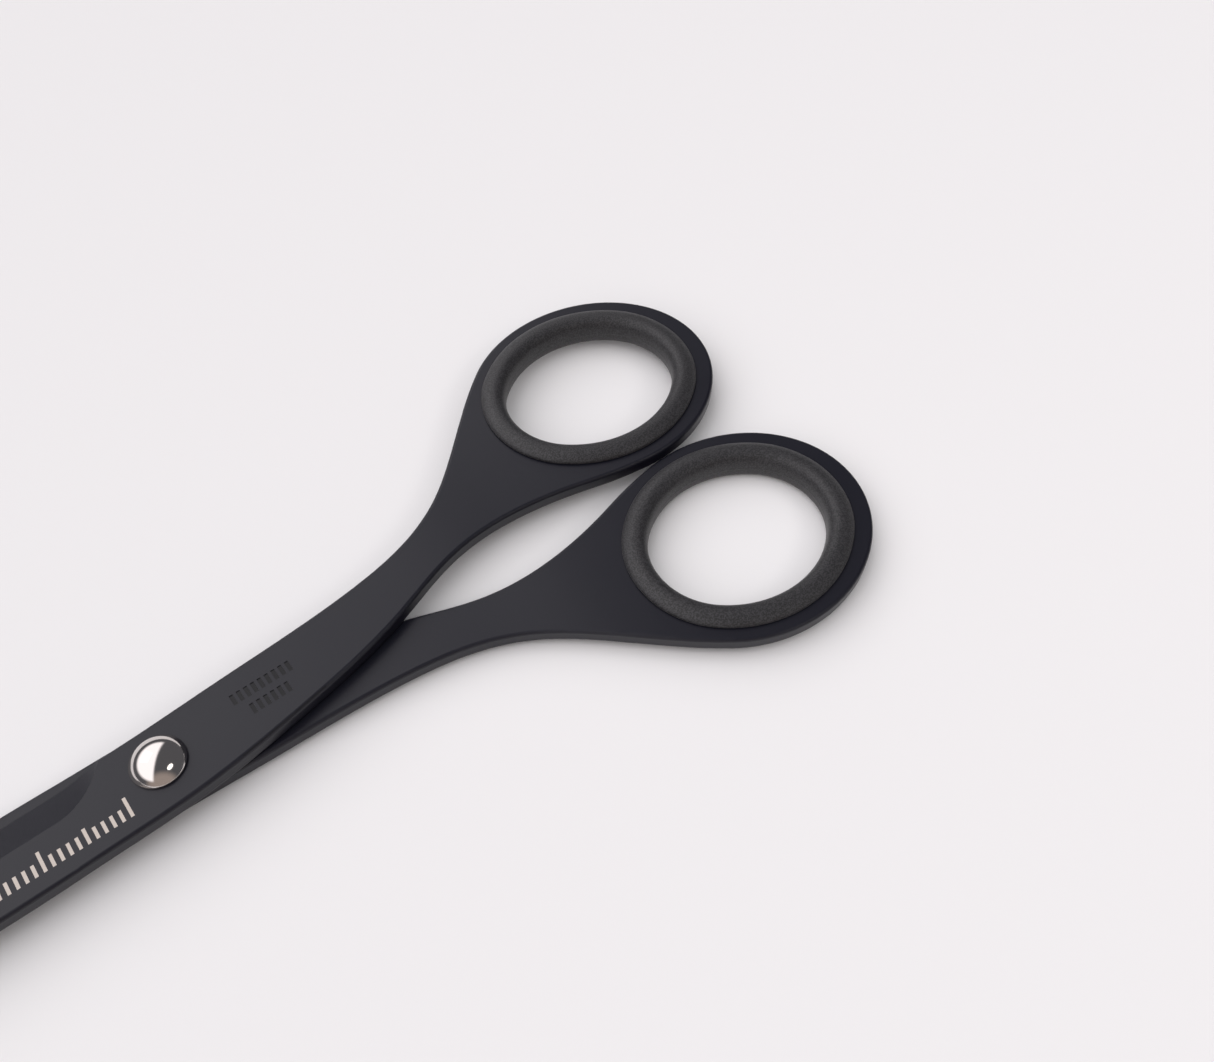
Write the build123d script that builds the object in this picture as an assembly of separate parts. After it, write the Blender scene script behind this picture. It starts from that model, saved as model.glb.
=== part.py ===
from build123d import *

import math
import os

# Slim straight scissors for trimming candle wicks, closed and lying on their back.
#
# Two alike halves are pressed from black coated stainless plate. Each one runs from a bow, past the pivot,
# to a hollow ground blade. A soft elastomer ring is snapped into each bow. The halves turn on a dome headed
# stud with a plastic washer between them, and a cone spring and a slotted nut hold them at the back.
#
# Frame, in millimetres: Z is the pivot's axis, the bows lie toward +X and the tips toward -X, the bow of the
# front (upper) half is on the +Y side, and Z = 0 is the surface that the nut and the rear ring rest on.

# Overall sizes
OVERALL_LENGTH = 165.0
OVERALL_WIDTH = 65.0
PLATE = 2.2  # thickness of each half
HALF_GAP = 0.06  # running gap between the inner faces of the two halves
EDGE_ROUND = 0.45  # rounding of the plate's edges

# Bow: an ellipse beside the closing line, set a little toward the other half
BOW_LENGTH_RADIUS = 18.7
BOW_WIDTH_RADIUS = 16.2
BOW_X = 75.7
BOW_Y = OVERALL_WIDTH / 2 - BOW_WIDTH_RADIUS
BOW_OUTER_ANGLE = 130.7  # where the outer side of the shank leaves the ellipse
BOW_INNER_ANGLE = -98.3  # where the inner side of the shank leaves it
BOW_SET = 0.6  # height of the bow's middle plane from the parting plane
CRANK_START_X = 36.0
CRANK_END_X = 58.0

# Ring: every outline of it is parallel to the oval hole in the bow, which has four tangent arcs
HOLE_X = 75.1
HOLE_Y = 16.25
HOLE_LENGTH_RADIUS = 14.6
HOLE_WIDTH_RADIUS = 12.55
HOLE_END_ARC = 11.3
RING_HALF_HEIGHT = 2.4
RING_LIP = 1.85  # reach of the lips over the plate
RING_LIP_EDGE = 0.4  # height of the lips at their outer edge
RING_WALL = 1.7  # thickness of the wall inside the hole
RING_CREST = 0.2  # how far the crest lies inside the hole's outline
RING_SLOPE = (-0.45, 0.9)  # direction of the ring's outer slope where it leaves the lip
RING_SHOULDER = (0.77, 0.71)  # a point of the inner slope, in shares of the wall and of the half height

# Blade
TIP_X = BOW_X + BOW_LENGTH_RADIUS - OVERALL_LENGTH
NOSE_RADIUS = 0.9
NOSE_ANGLE = -104.0  # where the spine leaves the nose
GRIND_X = -12.0  # where the bevel reaches its full width
CUTTING_EDGE_Y = 4.65  # distance of the cutting edge from the closing line there
SPINE_Y = -6.35
SPINE_RISE = 0.02  # slope of the spine there
EDGE_LAND = 0.35  # height left under the bevel at the cutting edge
BEVEL_WIDTH = 4.37
WHEEL_RADIUS = 14.5  # wheel that leaves the rounded end of the bevel
WHEEL_LENGTH = 24.0
GRIND_SWEEP = 10.0  # angle in degrees that the ground cone runs along the edge's arc
HOLLOW_RADIUS = 60.0
HOLLOW_DEPTH = 0.15
HOLLOW_START_X = -58.0
HOLLOW_END_X = -10.0
HOLLOW_Y = -1.0

# Pivot
HEAD_RADIUS = 3.35
HEAD_RIM = 0.3
HEAD_DOME = 2.0
NECK_RADIUS = 2.0
NECK_FLATS = 3.3  # across the two flats that key the stud to the front half
THREAD_RADIUS = 1.5
RUNNING_CLEARANCE = 0.04
FACE_CLEARANCE = 0.02
WASHER_RADIUS = 4.3
WASHER = 0.35
COUNTERBORE_RADIUS = 4.0
COUNTERBORE_DEPTH = 0.6
CONE_RADIUS = 3.5
CONE_SHEET = 0.2
NUT_RADIUS = 3.75
NUT = 0.8
NUT_CHAMFER = 0.15
NUT_SLOT = 0.8
NUT_SLOT_DEPTH = 0.35

# Marks pressed into the front shank: two rows of plain bars, as number of bars and the row's middle
MARK_ROWS = ((9, 14.1, 1.85), (6, 14.1, -0.6))
MARK_BAR = (0.5, 1.5)
MARK_PITCH = 0.92
MARK_DEPTH = 0.08

# Sizes that follow from these; heights of the front half are from the parting plane
PARTING_Z = RING_HALF_HEIGHT + BOW_SET
INNER_Z = HALF_GAP / 2
FACE_Z = INNER_Z + PLATE
BACK_Z = PARTING_Z - FACE_Z
FLOOR_Z = BACK_Z + COUNTERBORE_DEPTH
BEVEL_ANGLE = math.atan2(PLATE - EDGE_LAND, BEVEL_WIDTH)
NOSE_X = TIP_X + NOSE_RADIUS
EDGE_ARC = ((GRIND_X - NOSE_X) ** 2 + CUTTING_EDGE_Y**2 - NOSE_RADIUS**2) / (
    2 * (CUTTING_EDGE_Y - NOSE_RADIUS)
)
MARGIN = 3.0  # how far the cutting solids run past the plate


def bow_point(angle):
    """Point and direction of travel on the bow's ellipse, at an angle in degrees."""
    turn = math.radians(angle)
    point = (BOW_X + BOW_LENGTH_RADIUS * math.cos(turn), BOW_Y + BOW_WIDTH_RADIUS * math.sin(turn))
    travel = (-BOW_LENGTH_RADIUS * math.sin(turn), BOW_WIDTH_RADIUS * math.cos(turn))
    return point, travel


def half_outline():
    """Outline of the front half seen from above: round the bow, out to the tip and back."""
    outer_point, outer_travel = bow_point(BOW_OUTER_ANGLE)
    inner_point, inner_travel = bow_point(BOW_INNER_ANGLE)
    bow = EllipticalCenterArc(
        (BOW_X, BOW_Y), BOW_LENGTH_RADIUS, BOW_WIDTH_RADIUS, BOW_INNER_ANGLE,
        arc_size=BOW_OUTER_ANGLE - BOW_INNER_ANGLE,
    )
    edge_start = Vector(GRIND_X, CUTTING_EDGE_Y)
    outer_side = Spline(
        outer_point, (50, 16.25), (45, 12.15), (40, 9.45), (30, 6.98), (10, 5.52), edge_start,
        tangents=(outer_travel, (-1, 0)),
    )
    nose = Vector(NOSE_X, 0)
    centre = Vector(GRIND_X, CUTTING_EDGE_Y - EDGE_ARC)
    edge_end = centre + (nose - centre).normalized() * EDGE_ARC
    edge_middle = centre + ((edge_start + edge_end) / 2 - centre).normalized() * EDGE_ARC
    cutting_edge = ThreePointArc(edge_start, edge_middle, edge_end)
    turn = math.radians(NOSE_ANGLE)
    spine_tip = nose + Vector(math.cos(turn), math.sin(turn)) * NOSE_RADIUS
    nose_arc = ThreePointArc(edge_end, (TIP_X, 0), spine_tip)
    spine_end = (GRIND_X, SPINE_Y)
    spine = Spline(
        spine_tip, (-58, -3.35), (-40, -5.5), (-22, -6.35), spine_end,
        tangents=((-math.sin(turn), math.cos(turn)), (1, SPINE_RISE)),
    )
    inner_side = Spline(
        spine_end, (2, -6.05), (16, -4.2), (32, -0.45), (42, 3.1), (52, 4.2), (62, 2.65), inner_point,
        tangents=((1, SPINE_RISE), inner_travel),
    )
    return make_face([bow, outer_side, cutting_edge, nose_arc, spine, inner_side])


def plate_side(lift):
    """Lower face of the cranked plate seen from the side, raised by lift: flat, a soft step, flat."""
    step_x = (CRANK_START_X + CRANK_END_X) / 2
    high = INNER_Z + lift
    low = BOW_SET - PLATE / 2 + lift
    start = (CRANK_START_X, high)
    end = (CRANK_END_X, low)
    return [
        Line((TIP_X - MARGIN, high), start),
        Bezier(start, (step_x, high), (step_x, low), end),
        Line(end, (BOW_X + BOW_LENGTH_RADIUS + MARGIN, low)),
    ]


def cranked_plate():
    """Plate of constant thickness whose bow end is set toward the parting plane."""
    lower = plate_side(0)
    upper = plate_side(PLATE)
    ends = [Line(lower[0] @ 0, upper[0] @ 0), Line(lower[-1] @ 1, upper[-1] @ 1)]
    side = make_face([*lower, *upper, *ends])
    return extrude(Plane.XZ * side, OVERALL_WIDTH, both=True)


def is_rounded(edge):
    """All edges of the outline are rounded but the uprights, the cutting edge and the nose."""
    middle = edge @ 0.5
    upright = edge.length < PLATE + HALF_GAP and abs((edge @ 0).Z - (edge @ 1).Z) > PLATE / 2
    ground = middle.X < GRIND_X and middle.Y > -NOSE_RADIUS
    return not upright and not ground


def bevel_cutters():
    """Everything above the ground bevel: a cone along the curved edge, and the wheel at its end."""
    slope = math.tan(BEVEL_ANGLE)
    edge_z = INNER_Z + EDGE_LAND
    outer_y = CUTTING_EDGE_Y + MARGIN
    inner_y = CUTTING_EDGE_Y - BEVEL_WIDTH - MARGIN
    top_z = FACE_Z + MARGIN * slope
    low = (GRIND_X, outer_y, edge_z - MARGIN * slope)
    section = make_face(Polyline(low, (GRIND_X, outer_y, top_z), (GRIND_X, inner_y, top_z), close=True))
    along_edge = revolve(section, Axis((GRIND_X, CUTTING_EDGE_Y - EDGE_ARC, 0), (0, 0, 1)), GRIND_SWEEP)
    normal = Vector(0, math.sin(BEVEL_ANGLE), math.cos(BEVEL_ANGLE))
    ruling = Vector(0, -math.cos(BEVEL_ANGLE), math.sin(BEVEL_ANGLE))
    touch = Vector(GRIND_X, CUTTING_EDGE_Y - BEVEL_WIDTH / 2, (edge_z + FACE_Z) / 2)
    axle = Plane(origin=touch + normal * WHEEL_RADIUS, z_dir=ruling)
    return along_edge, axle * Cylinder(WHEEL_RADIUS, WHEEL_LENGTH)


def hollow_cutter():
    """Barrel that leaves a shallow hollow along the inner face of the blade."""
    axis_z = INNER_Z + HOLLOW_DEPTH - HOLLOW_RADIUS
    start = (HOLLOW_START_X, HOLLOW_Y, INNER_Z)
    middle = ((HOLLOW_START_X + HOLLOW_END_X) / 2, HOLLOW_Y, INNER_Z + HOLLOW_DEPTH)
    end = (HOLLOW_END_X, HOLLOW_Y, INNER_Z)
    axis_end = (HOLLOW_END_X, HOLLOW_Y, axis_z)
    axis_start = (HOLLOW_START_X, HOLLOW_Y, axis_z)
    rest = Polyline(end, axis_end, axis_start, start)
    side = make_face([ThreePointArc(start, middle, end), *rest.edges()])
    return revolve(side, Axis(axis_start, (1, 0, 0)), 360)


def oval_arcs():
    """The hole's four arcs about its own middle, each as centre, radius, start angle and sweep."""
    end_x = HOLE_LENGTH_RADIUS - HOLE_END_ARC
    side_arc = (HOLE_LENGTH_RADIUS**2 - 2 * HOLE_LENGTH_RADIUS * HOLE_END_ARC + HOLE_WIDTH_RADIUS**2) / (
        2 * (HOLE_WIDTH_RADIUS - HOLE_END_ARC)
    )
    side_y = side_arc - HOLE_WIDTH_RADIUS
    meet = math.degrees(math.atan2(side_y, end_x))
    return [
        ((end_x, 0), HOLE_END_ARC, -meet, 2 * meet),
        ((0, -side_y), side_arc, meet, 180 - 2 * meet),
        ((-end_x, 0), HOLE_END_ARC, 180 - meet, 2 * meet),
        ((0, side_y), side_arc, 180 + meet, 180 - 2 * meet),
    ]


def half_blank():
    """Front half without its pivot holes, with the parting plane at Z = 0."""
    blank = extrude(half_outline(), MARGIN, both=True) & cranked_plate()
    blank = fillet(blank.edges().filter_by(is_rounded), EDGE_ROUND)
    hole = extrude(make_face([CenterArc(*arc) for arc in oval_arcs()]), MARGIN, both=True)
    blank -= Pos(HOLE_X, HOLE_Y, 0) * hole
    for cutter in (*bevel_cutters(), hollow_cutter()):
        blank -= cutter
    return blank


def drill(radius, z0, z1):
    """Round bar on the pivot's axis between two heights."""
    return Pos(0, 0, z0) * Cylinder(radius, z1 - z0, align=(Align.CENTER, Align.CENTER, Align.MIN))


def keyed_bar(clearance, z0, z1):
    """The stud's neck, a round bar with two flats, grown by a clearance."""
    slab = Box(2 * (NECK_RADIUS + MARGIN), NECK_FLATS + 2 * clearance, 2 * (z1 + MARGIN))
    return drill(NECK_RADIUS + clearance, z0, z1) & slab


def front_half():
    """Upper half: a keyed hole for the stud and two rows of plain pressed bars on the shank."""
    half = half_blank() - keyed_bar(RUNNING_CLEARANCE, 0, FACE_Z)
    for count, row_x, row_y in MARK_ROWS:
        for i in range(count):
            bar_x = row_x + (i - (count - 1) / 2) * MARK_PITCH
            half -= Pos(bar_x, row_y, FACE_Z) * Box(*MARK_BAR, 2 * MARK_DEPTH)
    return Pos(0, 0, PARTING_Z) * half


def rear_half():
    """Lower half: the same blank turned over, with a round hole, a washer seat and a counterbore."""
    half = Pos(0, 0, PARTING_Z) * Rot(180, 0, 0) * half_blank()
    half -= drill(NECK_RADIUS + RUNNING_CLEARANCE, 0, PARTING_Z)
    half -= drill(WASHER_RADIUS + RUNNING_CLEARANCE, PARTING_Z + INNER_Z - WASHER, PARTING_Z)
    return half - drill(COUNTERBORE_RADIUS, 0, FLOOR_Z)


def ring_section():
    """Section of the ring: X is outward from the hole's outline and Y is up from its middle plane."""
    lip_top = (RING_LIP, PLATE / 2 + RING_LIP_EDGE)
    crest = (-RING_CREST, RING_HALF_HEIGHT)
    wall = (-RING_WALL, 0)
    outer_slope = Spline(lip_top, crest, tangents=(RING_SLOPE, (-1, 0)))
    shoulder = (-RING_SHOULDER[0] * RING_WALL, RING_SHOULDER[1] * RING_HALF_HEIGHT)
    inner_slope = Spline(crest, shoulder, wall, tangents=((-1, 0), (0, -1)))
    lip = Polyline(wall, (0, 0), (0, PLATE / 2), (RING_LIP, PLATE / 2), lip_top)
    upper = make_face([outer_slope, inner_slope, *lip.edges()])
    return upper + mirror(upper, Plane.XZ)


def bow_ring():
    """Grommet ring about the middle of the bow's hole, its section carried round the four arcs."""
    section = ring_section()
    ring = Part()
    for centre, radius, start, sweep in oval_arcs():
        turn = math.radians(start)
        outward = (math.cos(turn), math.sin(turn), 0)
        along = (math.sin(turn), -math.cos(turn), 0)
        place = Plane(origin=(*centre, 0), x_dir=outward, z_dir=along)
        ring += revolve(place * Pos(radius, 0, 0) * section, Axis((*centre, 0), (0, 0, 1)), sweep)
    return ring


def front_bow_ring():
    """Ring in the front half's bow."""
    return Pos(HOLE_X, HOLE_Y, PARTING_Z + BOW_SET) * bow_ring()


def rear_bow_ring():
    """Ring in the rear half's bow."""
    return Pos(HOLE_X, -HOLE_Y, PARTING_Z - BOW_SET) * bow_ring()


def pivot_stud():
    """Polished dome, neck with two flats, round bearing, and a reduced end flush with the nut."""
    face_z = PARTING_Z + FACE_Z
    rim_z = face_z + HEAD_RIM
    dome_radius = (HEAD_RADIUS**2 + HEAD_DOME**2) / (2 * HEAD_DOME)
    dome_middle = dome_radius * math.sin(math.asin(HEAD_RADIUS / dome_radius) / 2)
    dome_top = rim_z + HEAD_DOME
    dome = ThreePointArc(
        (HEAD_RADIUS, rim_z),
        (dome_middle, dome_top - dome_radius + math.sqrt(dome_radius**2 - dome_middle**2)),
        (0, dome_top),
    )
    rim = Polyline((0, dome_top), (0, face_z), (HEAD_RADIUS, face_z), (HEAD_RADIUS, rim_z))
    head = revolve(Plane.XZ * make_face([dome, *rim.edges()]), Axis.Z, 360)
    neck = keyed_bar(0, PARTING_Z + INNER_Z, face_z)
    bearing = drill(NECK_RADIUS, FLOOR_Z, PARTING_Z + INNER_Z)
    thread = drill(THREAD_RADIUS, 0, FLOOR_Z)
    return head + neck + bearing + thread


def friction_washer():
    """Thin plastic washer in its seat between the halves."""
    seat_z = PARTING_Z + INNER_Z - WASHER
    top_z = PARTING_Z + INNER_Z - FACE_CLEARANCE
    return drill(WASHER_RADIUS, seat_z, top_z) - drill(NECK_RADIUS + RUNNING_CLEARANCE, seat_z, top_z)


def cone_spring():
    """Sheet steel cone between the nut and the floor of the counterbore."""
    bore = THREAD_RADIUS + RUNNING_CLEARANCE
    rim_z = FLOOR_Z - CONE_SHEET - FACE_CLEARANCE
    outline = Polyline(
        (bore, NUT), (CONE_RADIUS, rim_z), (CONE_RADIUS, rim_z + CONE_SHEET), (bore, NUT + CONE_SHEET),
        close=True,
    )
    return revolve(Plane.XZ * make_face(outline), Axis.Z, 360)


def pivot_nut():
    """Round nut slotted for a forked driver; its flat face is one that the scissors rest on."""
    nut = drill(NUT_RADIUS, 0, NUT)
    nut = chamfer(nut.edges().group_by(Axis.Z)[0], NUT_CHAMFER)
    nut -= drill(THREAD_RADIUS, 0, NUT)
    return nut - Box(2 * (NUT_RADIUS + MARGIN), NUT_SLOT, 2 * NUT_SLOT_DEPTH)


PIECES = {
    "front_half": front_half,
    "rear_half": rear_half,
    "front_bow_ring": front_bow_ring,
    "rear_bow_ring": rear_bow_ring,
    "pivot_stud": pivot_stud,
    "friction_washer": friction_washer,
    "cone_spring": cone_spring,
    "pivot_nut": pivot_nut,
}

os.makedirs("parts", exist_ok=True)
for name, make in PIECES.items():
    piece = make()
    export_step(piece, f"parts/{name}.step")
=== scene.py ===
import math

import bmesh
import bpy
from mathutils import Matrix, Vector


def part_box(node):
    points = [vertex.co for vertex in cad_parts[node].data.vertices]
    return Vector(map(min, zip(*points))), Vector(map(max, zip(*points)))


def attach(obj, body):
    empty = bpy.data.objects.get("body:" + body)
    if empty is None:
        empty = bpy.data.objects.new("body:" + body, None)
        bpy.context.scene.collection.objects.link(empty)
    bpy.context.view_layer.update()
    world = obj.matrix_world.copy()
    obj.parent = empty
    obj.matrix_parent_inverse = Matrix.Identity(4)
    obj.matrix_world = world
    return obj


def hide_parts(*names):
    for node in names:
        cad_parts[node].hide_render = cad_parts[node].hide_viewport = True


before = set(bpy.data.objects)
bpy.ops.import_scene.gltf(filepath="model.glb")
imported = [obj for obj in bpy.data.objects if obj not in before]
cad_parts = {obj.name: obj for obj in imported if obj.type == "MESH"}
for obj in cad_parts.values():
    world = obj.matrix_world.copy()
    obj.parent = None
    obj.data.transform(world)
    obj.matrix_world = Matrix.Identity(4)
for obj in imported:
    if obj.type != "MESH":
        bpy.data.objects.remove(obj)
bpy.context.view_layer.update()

MM = 0.001


# ---------------------------------------------------------------------------------------------------
# Front half. Stainless plate, blanked, cranked at the bow and hollow ground, with plain bars pressed
# into the shank, then sprayed and baked with a satin black film that hides all but a trace of the
# grinding. A plain measuring scale is etched through the film of the blade to the bright steel.
# ---------------------------------------------------------------------------------------------------

FILM_BLACK = (0.0054, 0.0056, 0.0108, 1)
FILM_GREY = (0.0100, 0.0100, 0.0162, 1)
# Painted shade for the floors of the pressed bars.
BARS_PAINTED_SHADE = (0.0030, 0.0030, 0.0048, 1)
FILM_GLOSS = 0.41
FILM_SPECKS_PER_METRE = 6500
FILM_TONE_FROM_SPECKS = 0.7
FILM_TONE_FROM_DRIFT = 0.5
FILM_TONE_START = 0.15
FILM_ROUGHNESS = 0.33
FILM_ROUGHNESS_DRIFT = 0.10
FILM_RELIEF = 0.004 * MM

# The bevel is the only face that leans this much; it runs from past the tip to short of the pivot.
BEVEL_LEAN = (0.80, 0.985)
BEVEL_LEAN_BLUR = 0.02
BEVEL_ALONG = (-1.0, -3.5 * MM)
BEVEL_ALONG_BLUR = 1.0 * MM
BEVEL_POLISH = 0.05
GRINDING_WIDTH = 0.12 * MM
GRINDING_STRETCH = (1.0, 0.05, 0.05)
GRINDING_DEPTH = 1.6

BARE_STEEL = (0.56, 0.50, 0.45, 1)
SCALE_START = -5.0 * MM
SCALE_END = -55.0 * MM
SCALE_STEP = 1.0 * MM
SCALE_FOOT = -4.25 * MM
TICK_SHORT = 1.6 * MM
TICK_MIDDLE = 2.1 * MM
TICK_LONG = 2.7 * MM
TICK_WIDTH = 0.40 * MM
TOP_FACE_DEPTH = 0.03 * MM

BARS_DEPTH = (0.12 * MM, 0.05 * MM)
BARS_ALONG = (8 * MM, 20 * MM)
BARS_ROUGHNESS = 0.12
CRISP = 0.01 * MM
SOFT = 0.1 * MM


def node(tree, kind, **settings):
    """A new shader node with its settings."""
    new = tree.nodes.new(kind)
    for name, value in settings.items():
        setattr(new, name, value)
    return new


def feed(tree, socket, value):
    """Joins a socket to another socket, or sets it to a plain value."""
    if isinstance(value, bpy.types.NodeSocket):
        tree.links.new(value, socket)
    else:
        socket.default_value = value


def calculate(tree, operation, *values, clamp=False):
    """One math node's result."""
    new = node(tree, "ShaderNodeMath", operation=operation, use_clamp=clamp)
    for socket, value in zip(new.inputs, values):
        feed(tree, socket, value)
    return new.outputs[0]


def product(tree, first, *others):
    """Values multiplied together."""
    for other in others:
        first = calculate(tree, "MULTIPLY", first, other)
    return first


def between(tree, value, low, high, blur):
    """1 where the value lies from low to high, with edges as soft as blur."""
    past_low = calculate(tree, "SUBTRACT", value, low - blur / 2)
    short_of_high = calculate(tree, "SUBTRACT", high + blur / 2, value)
    rise = calculate(tree, "DIVIDE", past_low, blur, clamp=True)
    fall = calculate(tree, "DIVIDE", short_of_high, blur, clamp=True)
    return product(tree, rise, fall)


def every(tree, count, number):
    """1 at each whole number that the count divides."""
    left_over = calculate(tree, "WRAP", number, count / 2, -count / 2)
    return calculate(tree, "LESS_THAN", calculate(tree, "ABSOLUTE", left_over), 0.5)


def axes(tree, vector):
    """A vector's x, y and z."""
    new = node(tree, "ShaderNodeSeparateXYZ")
    feed(tree, new.inputs[0], vector)
    return new.outputs["X"], new.outputs["Y"], new.outputs["Z"]


def noise(tree, place, size, detail):
    """Noise whose features are of this size in metres."""
    new = node(tree, "ShaderNodeTexNoise")
    new.inputs["Scale"].default_value = 1 / size
    new.inputs["Detail"].default_value = detail
    feed(tree, new.inputs["Vector"], place)
    return new.outputs["Fac"]


def blend_colours(tree, factor, first, second):
    """Two colours mixed by a factor."""
    new = node(tree, "ShaderNodeMix", data_type="RGBA")
    feed(tree, new.inputs["Factor"], factor)
    feed(tree, new.inputs["A"], first)
    feed(tree, new.inputs["B"], second)
    return new.outputs["Result"]


def relief(tree, height, depth):
    """Normal of a surface whose height, from 0 to 1, is this deep in metres."""
    new = node(tree, "ShaderNodeBump")
    new.inputs["Distance"].default_value = depth
    feed(tree, new.inputs["Height"], height)
    return new.outputs["Normal"]


def new_material(name):
    """A material, its node tree and its Principled shader."""
    material = bpy.data.materials.new(name)
    material.use_nodes = True
    tree = material.node_tree
    tree.nodes.clear()
    shader = node(tree, "ShaderNodeBsdfPrincipled")
    tree.links.new(shader.outputs["BSDF"], node(tree, "ShaderNodeOutputMaterial").inputs["Surface"])
    return material, tree, shader


def new_group(name, inputs, outputs):
    """A node group with named number inputs and outputs: its tree and its two end nodes."""
    tree = bpy.data.node_groups.new(name, "ShaderNodeTree")
    for socket, value in inputs.items():
        made = tree.interface.new_socket(socket, in_out="INPUT", socket_type="NodeSocketFloat")
        made.default_value = value
    for socket in outputs:
        tree.interface.new_socket(socket, in_out="OUTPUT", socket_type="NodeSocketFloat")
    return tree, node(tree, "NodeGroupInput"), node(tree, "NodeGroupOutput")


# Fine grain: the skin of a sprayed, moulded or polished surface, as even specks and as slow drift.
SPECKS_DETAIL = 1.5
DRIFT_SIZE = 14 * MM
DRIFT_DETAIL = 3
fine_grain, given, result = new_group("fine_grain", {"Specks per metre": 6000.0}, ["Specks", "Drift"])
place = node(fine_grain, "ShaderNodeTexCoord").outputs["Object"]
specks = node(fine_grain, "ShaderNodeTexNoise")
specks.inputs["Detail"].default_value = SPECKS_DETAIL
feed(fine_grain, specks.inputs["Vector"], place)
feed(fine_grain, specks.inputs["Scale"], given.outputs["Specks per metre"])
feed(fine_grain, result.inputs["Specks"], specks.outputs["Fac"])
feed(fine_grain, result.inputs["Drift"], noise(fine_grain, place, DRIFT_SIZE, DRIFT_DETAIL))


def grain(tree, specks_per_metre):
    """The fine grain group placed in a material: its specks and its drift."""
    new = node(tree, "ShaderNodeGroup", node_tree=fine_grain)
    new.inputs["Specks per metre"].default_value = specks_per_metre
    return new.outputs["Specks"], new.outputs["Drift"]


def coated_steel(name, face_up):
    """Satin black film; the bevel of the blade lies on the side that face_up gives, +1 or -1."""
    material, tree, shader = new_material(name)
    coordinates = node(tree, "ShaderNodeTexCoord")
    place = axes(tree, coordinates.outputs["Object"])
    specks, drift = grain(tree, FILM_SPECKS_PER_METRE)

    lean = product(tree, axes(tree, coordinates.outputs["Normal"])[2], face_up)
    ground = product(
        tree,
        between(tree, lean, *BEVEL_LEAN, BEVEL_LEAN_BLUR),
        between(tree, place[0], *BEVEL_ALONG, BEVEL_ALONG_BLUR),
    )
    stretched = node(tree, "ShaderNodeMapping")
    stretched.inputs["Scale"].default_value = GRINDING_STRETCH
    feed(tree, stretched.inputs["Vector"], coordinates.outputs["Object"])
    grinding = noise(tree, stretched.outputs["Vector"], GRINDING_WIDTH, 3)

    tone = calculate(
        tree, "ADD", product(tree, specks, FILM_TONE_FROM_SPECKS), product(tree, drift, FILM_TONE_FROM_DRIFT)
    )
    tone = calculate(tree, "SUBTRACT", tone, FILM_TONE_START, clamp=True)
    film = blend_colours(tree, tone, FILM_BLACK, FILM_GREY)
    rough = calculate(tree, "MULTIPLY_ADD", drift, FILM_ROUGHNESS_DRIFT, FILM_ROUGHNESS)
    rough = calculate(tree, "SUBTRACT", rough, product(tree, ground, BEVEL_POLISH))
    height = calculate(tree, "ADD", specks, product(tree, grinding, product(tree, ground, GRINDING_DEPTH)))
    shader.inputs["Specular IOR Level"].default_value = FILM_GLOSS
    feed(tree, shader.inputs["Base Color"], film)
    feed(tree, shader.inputs["Roughness"], rough)
    feed(tree, shader.inputs["Normal"], relief(tree, height, FILM_RELIEF))
    return material, tree, shader, place, film, rough


material, tree, shader, (x, y, z), film, rough = coated_steel("front_film", 1.0)
top_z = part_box("front_half")[1].z

# The scale: a tick every step, longer at every fifth and longest at every tenth.
steps = calculate(tree, "DIVIDE", calculate(tree, "SUBTRACT", SCALE_START, x), SCALE_STEP)
nearest = calculate(tree, "ROUND", steps)
off_tick = calculate(tree, "ABSOLUTE", calculate(tree, "SUBTRACT", steps, nearest))
on_tick = calculate(tree, "LESS_THAN", product(tree, off_tick, SCALE_STEP), TICK_WIDTH / 2)
reach = calculate(
    tree, "MULTIPLY_ADD", every(tree, 5, nearest), TICK_MIDDLE - TICK_SHORT, SCALE_FOOT + TICK_SHORT
)
reach = calculate(tree, "MULTIPLY_ADD", every(tree, 10, nearest), TICK_LONG - TICK_MIDDLE, reach)
etched = product(
    tree,
    on_tick,
    calculate(tree, "GREATER_THAN", y, SCALE_FOOT),
    calculate(tree, "LESS_THAN", y, reach),
    between(tree, x, SCALE_END - TICK_WIDTH, SCALE_START + TICK_WIDTH, CRISP),
    calculate(tree, "GREATER_THAN", z, top_z - TOP_FACE_DEPTH),
)

# The floor of each pressed bar, which lies a little below the top face, is given painted shade in its
# colour, and a rougher surface.
pressed = product(
    tree,
    between(tree, z, top_z - BARS_DEPTH[0], top_z - BARS_DEPTH[1], CRISP),
    between(tree, x, *BARS_ALONG, SOFT),
)
film_with_painted_shade = blend_colours(tree, pressed, film, BARS_PAINTED_SHADE)
feed(tree, shader.inputs["Base Color"], blend_colours(tree, etched, film_with_painted_shade, BARE_STEEL))
feed(tree, shader.inputs["Roughness"], calculate(tree, "MULTIPLY_ADD", pressed, BARS_ROUGHNESS, rough))
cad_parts["front_half"].material_slots[0].material = material


# ---------------------------------------------------------------------------------------------------
# Rear half. The same blank of stainless plate turned over, ground and coated in the same way, with
# nothing pressed or etched on it.
# ---------------------------------------------------------------------------------------------------

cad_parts["rear_half"].material_slots[0].material = coated_steel("rear_film", -1.0)[0]


# ---------------------------------------------------------------------------------------------------
# Bow rings. Each is a grommet of soft black elastomer, moulded in one piece with a dull speckled
# skin, and pushed into the bow, where its two lips hold it.
# ---------------------------------------------------------------------------------------------------

HOLE_X = 75.1 * MM
HOLE_Y = 16.25 * MM
HOLE_LENGTH_RADIUS = 14.6 * MM
HOLE_WIDTH_RADIUS = 12.55 * MM
HOLE_END_ARC = 11.3 * MM
STEPS_PER_ARC = 14
MERGE_RING = 0.002 * MM

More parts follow.
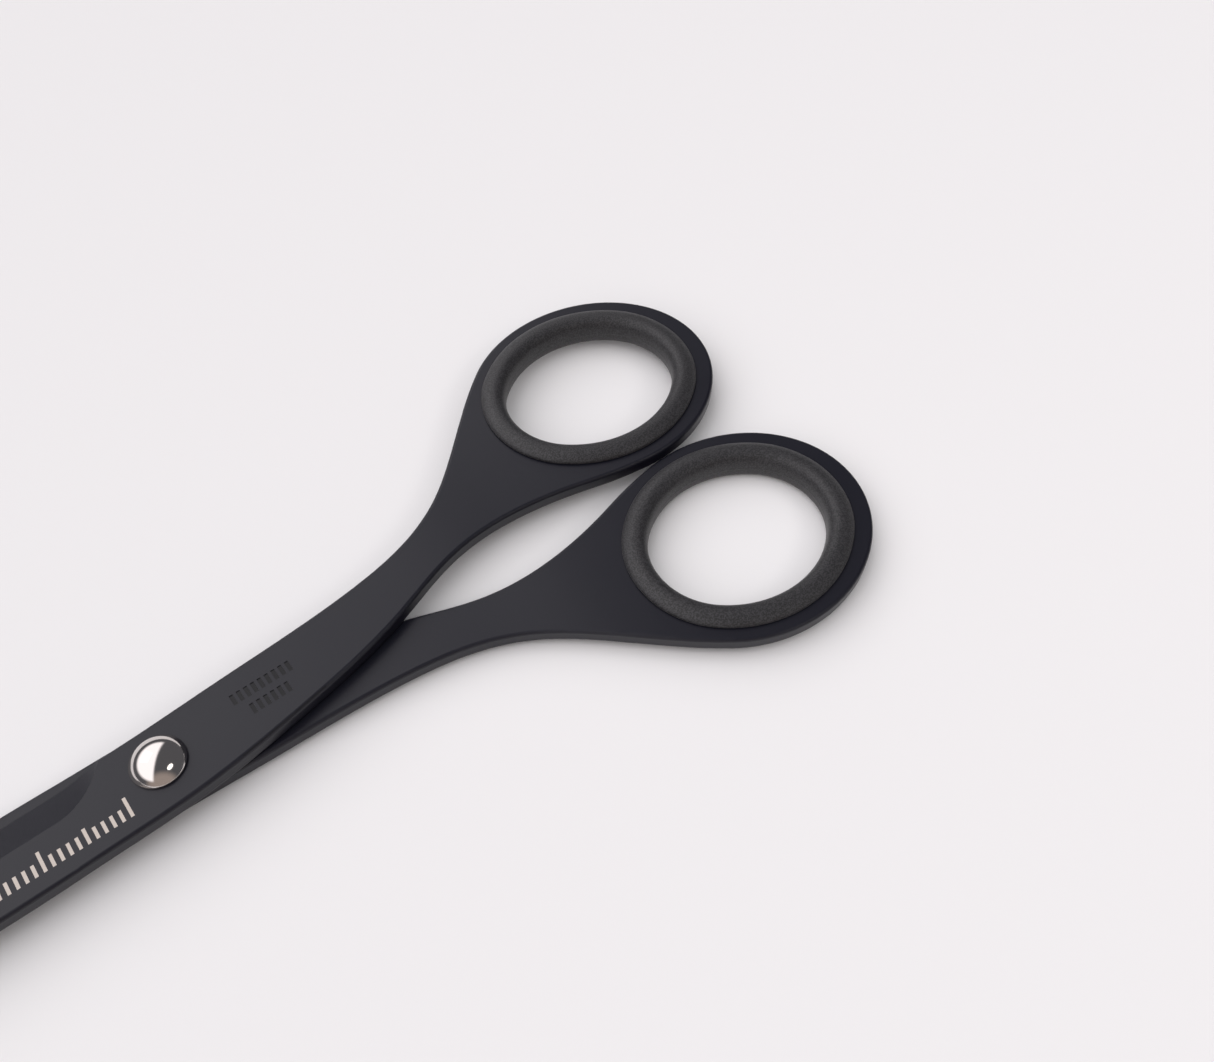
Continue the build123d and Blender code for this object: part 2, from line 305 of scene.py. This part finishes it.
# The upper half of the section, from the mould line over the crest to the groove, as outward and up.
RING_SECTION = (
    (-1.74, 0.0), (-1.70, 0.10), (-1.69, 0.75), (-1.52, 1.50), (-1.12, 2.06), (-0.55, 2.36), (0.05, 2.39),
    (0.65, 2.30), (1.20, 2.05), (1.62, 1.76), (1.85, 1.42), (1.85, 1.10), (0.0, 1.10),
)

RING_BLACK = (0.0096, 0.0093, 0.0104, 1)
RING_SPECK = (0.0345, 0.0335, 0.0368, 1)
RING_SPECKS_PER_METRE = 5200
RING_SPECKS_START = 0.42
RING_SPECKS_CONTRAST = 5.5
RING_ROUGHNESS = 0.46
RING_ROUGHNESS_DRIFT = 0.14
RING_RELIEF = 0.02 * MM
RING_SHEEN = 0.08


def elastomer():
    """Dull black elastomer with a fine speckled skin."""
    material, tree, shader = new_material("elastomer")
    specks, drift = grain(tree, RING_SPECKS_PER_METRE)
    lift = calculate(tree, "SUBTRACT", specks, RING_SPECKS_START)
    lift = calculate(tree, "MULTIPLY", lift, RING_SPECKS_CONTRAST, clamp=True)
    rough = calculate(tree, "MULTIPLY_ADD", drift, RING_ROUGHNESS_DRIFT, RING_ROUGHNESS)
    feed(tree, shader.inputs["Base Color"], blend_colours(tree, lift, RING_BLACK, RING_SPECK))
    feed(tree, shader.inputs["Roughness"], rough)
    feed(tree, shader.inputs["Normal"], relief(tree, specks, RING_RELIEF))
    shader.inputs["Sheen Weight"].default_value = RING_SHEEN
    return material


def made_object(shape, name, material, smooth):
    """A finished shape as an object with one material."""
    for face in shape.faces:
        face.smooth = smooth
    mesh = bpy.data.meshes.new(name)
    shape.to_mesh(mesh)
    shape.free()
    mesh.materials.append(material)
    made = bpy.data.objects.new(name, mesh)
    bpy.context.collection.objects.link(made)
    return made


def bow_ring(name, side, middle_z, material):
    """One ring: its section spun round the four arcs of the oval hole."""
    end_x = HOLE_LENGTH_RADIUS - HOLE_END_ARC
    side_arc = (HOLE_LENGTH_RADIUS**2 - 2 * HOLE_LENGTH_RADIUS * HOLE_END_ARC + HOLE_WIDTH_RADIUS**2) / (
        2 * (HOLE_WIDTH_RADIUS - HOLE_END_ARC)
    )
    side_y = side_arc - HOLE_WIDTH_RADIUS
    meet = math.atan2(side_y, end_x)
    shape = bmesh.new()
    upper = [shape.verts.new((HOLE_LENGTH_RADIUS + out * MM, 0, up * MM)) for out, up in RING_SECTION]
    lower = [shape.verts.new((vert.co.x, 0, -vert.co.z)) for vert in upper[:0:-1]]
    loop = upper + lower
    edges = [shape.edges.new(pair) for pair in zip(loop, loop[1:] + loop[:1])]
    bmesh.ops.rotate(shape, verts=loop, cent=(end_x, 0, 0), matrix=Matrix.Rotation(-meet, 3, "Z"))
    end_sweep, side_sweep = 2 * meet, math.pi - 2 * meet
    arcs = (
        (end_x, 0, end_sweep), (0, -side_y, side_sweep), (-end_x, 0, end_sweep), (0, side_y, side_sweep)
    )
    start = loop + edges
    for centre_x, centre_y, sweep in arcs:
        spun = bmesh.ops.spin(
            shape, geom=start, cent=(centre_x, centre_y, 0), axis=(0, 0, 1), angle=sweep, steps=STEPS_PER_ARC
        )
        start = spun["geom_last"]
    bmesh.ops.remove_doubles(shape, verts=shape.verts, dist=MERGE_RING)
    bmesh.ops.recalc_face_normals(shape, faces=shape.faces)
    bmesh.ops.translate(shape, verts=shape.verts, vec=(HOLE_X, side * HOLE_Y, middle_z))
    return made_object(shape, name, material, smooth=True)


ring_skin = elastomer()
for name, side, body in (("front_bow_ring", 1, "front"), ("rear_bow_ring", -1, "rear")):
    low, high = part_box(name)
    ring = bow_ring("grommet_" + body, side, (low.z + high.z) / 2, ring_skin)
    rounded = ring.modifiers.new("rounded", "SUBSURF")
    rounded.levels = 1
    rounded.render_levels = 1
    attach(ring, body)
    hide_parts(name)


# ---------------------------------------------------------------------------------------------------
# Pivot stud and nut. Turned from stainless bar and polished: a domed head on the front, a neck with two
# flats keyed in the front half, and at the back a thin slotted nut on the reduced end.
# ---------------------------------------------------------------------------------------------------

HEAD_RADIUS = 3.35 * MM
HEAD_RIM = 0.3 * MM
HEAD_DOME = 2.0 * MM
NECK_RADIUS = 2.0 * MM
NECK_FLATS = 3.3 * MM
END_RADIUS = 1.5 * MM
END_LENGTH = 1.37 * MM
FRONT_PLATE = 2.2 * MM
DOME_STEPS = 18
TURNED_STEPS = 96
BROKEN_EDGE = 0.12 * MM
MERGE_STUD = 0.001 * MM
NEAR = 0.01 * MM

POLISHED_STEEL = (0.68, 0.64, 0.615, 1)
POLISHED_SPECKS_PER_METRE = 2500
POLISHED_ROUGHNESS = 0.06
POLISHED_ROUGHNESS_DRIFT = 0.06
POLISHED_RELIEF = 0.0006 * MM


def pivot_head(material):
    """The stud: the section of its dome, rim, neck, bearing and end, spun about the pivot."""
    low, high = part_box("pivot_stud")
    face_z = high.z - HEAD_DOME - HEAD_RIM
    neck_z = face_z - FRONT_PLATE
    dome_radius = (HEAD_RADIUS**2 + HEAD_DOME**2) / (2 * HEAD_DOME)
    shape = bmesh.new()
    top = shape.verts.new((0, 0, high.z))
    bmesh.ops.spin(
        shape, geom=[top], cent=(0, 0, high.z - dome_radius), axis=(0, 1, 0),
        angle=math.asin(HEAD_RADIUS / dome_radius), steps=DOME_STEPS,
    )
    last = max(shape.verts, key=lambda vert: vert.co.x)
    for radius, height in (
        (HEAD_RADIUS, face_z), (NECK_RADIUS, face_z), (NECK_RADIUS, neck_z), (NECK_RADIUS, END_LENGTH),
        (END_RADIUS, END_LENGTH), (END_RADIUS, low.z), (0, low.z),
    ):
        corner = shape.verts.new((radius, 0, height))
        shape.edges.new((last, corner))
        last = corner
    bmesh.ops.spin(
        shape, geom=shape.verts[:] + shape.edges[:], cent=(0, 0, 0), axis=(0, 0, 1), angle=2 * math.pi,
        steps=TURNED_STEPS, use_merge=True,
    )
    bmesh.ops.remove_doubles(shape, verts=shape.verts, dist=MERGE_STUD)
    for vert in shape.verts:
        slim = vert.co.xy.length < NECK_RADIUS + NEAR
        if slim and neck_z - NEAR < vert.co.z < face_z + NEAR:
            vert.co.y = max(-NECK_FLATS / 2, min(NECK_FLATS / 2, vert.co.y))
    bmesh.ops.recalc_face_normals(shape, faces=shape.faces)
    return made_object(shape, "pivot_head", material, smooth=True)


material, tree, shader = new_material("polished_steel")
specks, drift = grain(tree, POLISHED_SPECKS_PER_METRE)
rough = calculate(tree, "MULTIPLY_ADD", drift, POLISHED_ROUGHNESS_DRIFT, POLISHED_ROUGHNESS)
shader.inputs["Base Color"].default_value = POLISHED_STEEL
shader.inputs["Metallic"].default_value = 1.0
feed(tree, shader.inputs["Roughness"], rough)
feed(tree, shader.inputs["Normal"], relief(tree, specks, POLISHED_RELIEF))
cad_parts["pivot_nut"].material_slots[0].material = material

stud = pivot_head(material)
broken = stud.modifiers.new("broken_edges", "BEVEL")
broken.width = BROKEN_EDGE
broken.segments = 3
broken.limit_method = "ANGLE"
broken.harden_normals = True
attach(stud, "front")
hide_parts("pivot_stud")


# ---------------------------------------------------------------------------------------------------
# Cone spring and friction washer. Plain blanked pieces that lie inside: the spring is of spring steel,
# under the nut, and the washer is of acetal, between the halves.
# ---------------------------------------------------------------------------------------------------

SPRING_DARK = (0.30, 0.30, 0.31, 1)
SPRING_LIGHT = (0.42, 0.41, 0.41, 1)
SPRING_SPECKS_PER_METRE = 3000
SPRING_ROUGHNESS = 0.25
SPRING_ROUGHNESS_SPECKS = 0.15
WASHER_DARK = (0.62, 0.61, 0.57, 1)
WASHER_LIGHT = (0.68, 0.67, 0.63, 1)
WASHER_SPECKS_PER_METRE = 4000
WASHER_ROUGHNESS = 0.4
WASHER_ROUGHNESS_DRIFT = 0.1

material, tree, shader = new_material("spring_steel")
specks, drift = grain(tree, SPRING_SPECKS_PER_METRE)
rough = calculate(tree, "MULTIPLY_ADD", specks, SPRING_ROUGHNESS_SPECKS, SPRING_ROUGHNESS)
feed(tree, shader.inputs["Base Color"], blend_colours(tree, drift, SPRING_DARK, SPRING_LIGHT))
feed(tree, shader.inputs["Roughness"], rough)
shader.inputs["Metallic"].default_value = 1.0
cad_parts["cone_spring"].material_slots[0].material = material

material, tree, shader = new_material("acetal")
specks, drift = grain(tree, WASHER_SPECKS_PER_METRE)
rough = calculate(tree, "MULTIPLY_ADD", drift, WASHER_ROUGHNESS_DRIFT, WASHER_ROUGHNESS)
feed(tree, shader.inputs["Base Color"], blend_colours(tree, specks, WASHER_DARK, WASHER_LIGHT))
feed(tree, shader.inputs["Roughness"], rough)
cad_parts["friction_washer"].material_slots[0].material = material


# ---------------------------------------------------------------------------------------------------
# The table top that the scissors lie on: plain, pale and dull. It is a hair below them, so that the
# nut's flush face and the table never share a plane.
# ---------------------------------------------------------------------------------------------------

TABLE_HALF_WIDTH = 3.0
TABLE_Z = -0.02 * MM
TABLE_PALE = (0.830, 0.823, 0.826, 1)
TABLE_ROUGHNESS = 0.9

material, tree, shader = new_material("pale_table")
shader.inputs["Base Color"].default_value = TABLE_PALE
shader.inputs["Roughness"].default_value = TABLE_ROUGHNESS
shape = bmesh.new()
bmesh.ops.create_grid(shape, x_segments=1, y_segments=1, size=TABLE_HALF_WIDTH)
bmesh.ops.translate(shape, verts=shape.verts, vec=(0, 0, TABLE_Z))
made_object(shape, "table_top", material, smooth=False)


# ---------------------------------------------------------------------------------------------------
# Camera, and the light: a window and a bright wall at the left, a broad soft light overhead, one small
# lamp at the right, and a dim room that is warmer and a little brighter behind the camera.
# ---------------------------------------------------------------------------------------------------

SEEN_FROM = Vector((8.33, -72.44, 123.30)) * MM
LOOKED_AT = Vector((61.62, -4.95, 2.80)) * MM
up = Vector((0, 0, 1))
look = (LOOKED_AT - SEEN_FROM).normalized()
right = look.cross(up).normalized()
ahead = up.cross(right)

lens = bpy.data.cameras.new("camera")
lens.sensor_width = 36.0
lens.lens = 32.62
lens.clip_start = 5 * MM
camera = bpy.data.objects.new("camera", lens)
camera.location = SEEN_FROM
camera.rotation_euler = look.to_track_quat("-Z", "Y").to_euler()
bpy.context.collection.objects.link(camera)
bpy.context.scene.camera = camera


def area_light(name, outline, toward, distance, size, watts, colour):
    """A soft light of this outline that faces the object from a direction."""
    lamp = bpy.data.lights.new(name, "AREA")
    lamp.shape = outline
    lamp.size, lamp.size_y = size
    lamp.energy = watts
    lamp.color = colour
    light = bpy.data.objects.new(name, lamp)
    light.location = LOOKED_AT + toward.normalized() * distance
    light.rotation_euler = (LOOKED_AT - light.location).to_track_quat("-Z", "Y").to_euler()
    bpy.context.collection.objects.link(light)
    return light


area_light(
    "window", "RECTANGLE", toward=-0.90 * right + 0.30 * ahead + 0.95 * up, distance=1.6,
    size=(0.9, 0.9), watts=1.0, colour=(1.0, 0.99, 0.98),
)
area_light(
    "lamp", "ELLIPSE", toward=0.75 * right - 0.35 * ahead + 0.8 * up, distance=0.6,
    size=(0.26, 0.16), watts=0.24, colour=(1.0, 0.97, 0.93),
)
overhead = area_light(
    "overhead", "RECTANGLE", toward=0.25 * right - 0.1 * ahead + up, distance=1.5,
    size=(2.0, 2.0), watts=10.8, colour=(1.0, 0.99, 1.0),
)
overhead.visible_glossy = False

WALL = (1.55, 1.5035, 1.5345, 1)
WALL_SIDE_EDGE = (0.06, 0.22)
WALL_FOOT_EDGE = (0.22, 0.42)
DIM_ROOM = (0.11, 0.11, 0.1188, 1)
WARM_ROOM = (0.40, 0.34, 0.31, 1)
WARM_ROOM_EDGE = (0.60, 0.90)
SEEN_ROOM = (0.86, 0.85, 0.86, 1)
toward_wall = (-1.0 * right + 0.05 * ahead + 0.05 * up).normalized()
toward_warm_room = (0.25 * right - ahead + 0.1 * up).normalized()

world = bpy.data.worlds.new("room")
world.use_nodes = True
bpy.context.scene.world = world
tree = world.node_tree
sky = node(tree, "ShaderNodeTexCoord").outputs["Generated"]


def facing_share(direction, start, end):
    """How far the sky's direction turns to face a given one, from 0 at start to 1 at end."""
    turned = node(tree, "ShaderNodeVectorMath", operation="DOT_PRODUCT")
    feed(tree, turned.inputs[0], sky)
    turned.inputs[1].default_value = direction
    share = node(tree, "ShaderNodeMapRange", interpolation_type="SMOOTHSTEP")
    feed(tree, share.inputs["Value"], turned.outputs["Value"])
    share.inputs["From Min"].default_value = start
    share.inputs["From Max"].default_value = end
    return share.outputs["Result"]


warm = facing_share(toward_warm_room, *WARM_ROOM_EDGE)
dim = blend_colours(tree, warm, DIM_ROOM, WARM_ROOM)
lit = product(tree, facing_share(toward_wall, *WALL_SIDE_EDGE), facing_share(up, *WALL_FOOT_EDGE))
room = blend_colours(tree, lit, dim, WALL)
seen = node(tree, "ShaderNodeLightPath").outputs["Is Camera Ray"]
feed(tree, tree.nodes["Background"].inputs["Color"], blend_colours(tree, seen, room, SEEN_ROOM))

bpy.context.scene.view_settings.view_transform = "Standard"
